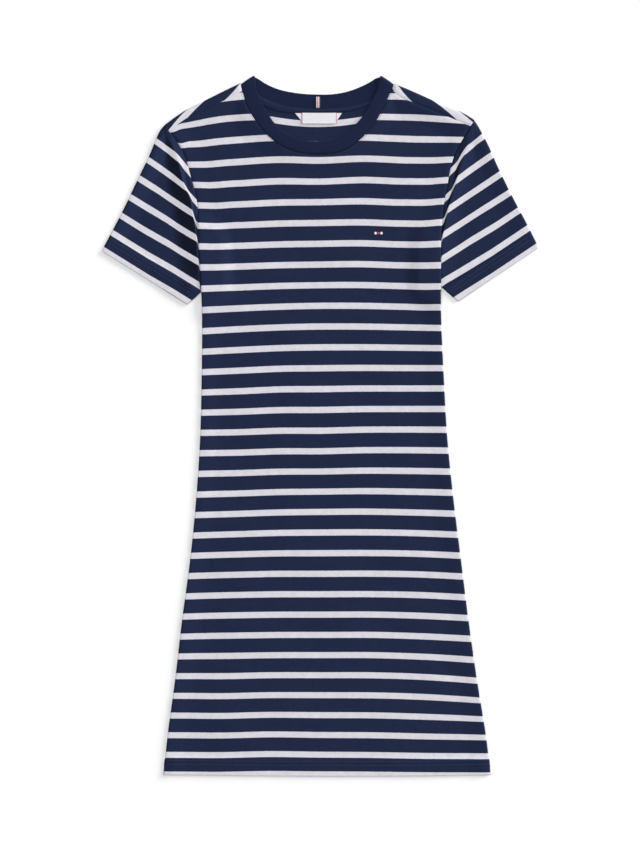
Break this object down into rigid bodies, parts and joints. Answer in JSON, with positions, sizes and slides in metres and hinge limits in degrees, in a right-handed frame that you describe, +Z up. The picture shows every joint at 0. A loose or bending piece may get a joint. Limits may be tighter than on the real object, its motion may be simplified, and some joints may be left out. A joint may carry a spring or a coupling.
{
  "type": "t-shirt dress",
  "caption": "Crew-neck T-shirt dress, above knee length, with short set-in sleeves in striped cotton jersey, laid flat with its front up.",
  "frame": {"origin": "middle of the box of the outline, on the surface that the dress lies on", "axes": "+Y along the dress towards its neck, +X to the right as the front is looked at, +Z up from the surface through the back and then the front"},
  "size_m": [0.5622, 0.9005, 0.0082],
  "materials": {
    "jersey": "fine cotton jersey, navy with even white yarn-dyed stripes",
    "rib": "cotton rib knit, navy",
    "label": "woven label tape, off-white with a thin red edge",
    "ribbon": "grosgrain ribbon, navy, red and white stripes"
  },
  "bodies": {
    "root": {"back_panel": "jersey", "front_panel": "jersey", "sleeve_left": "jersey", "sleeve_right": "jersey", "neckband": "rib", "neck_label": "label", "hanger_loop": "ribbon"}
  },
  "joints": []
}
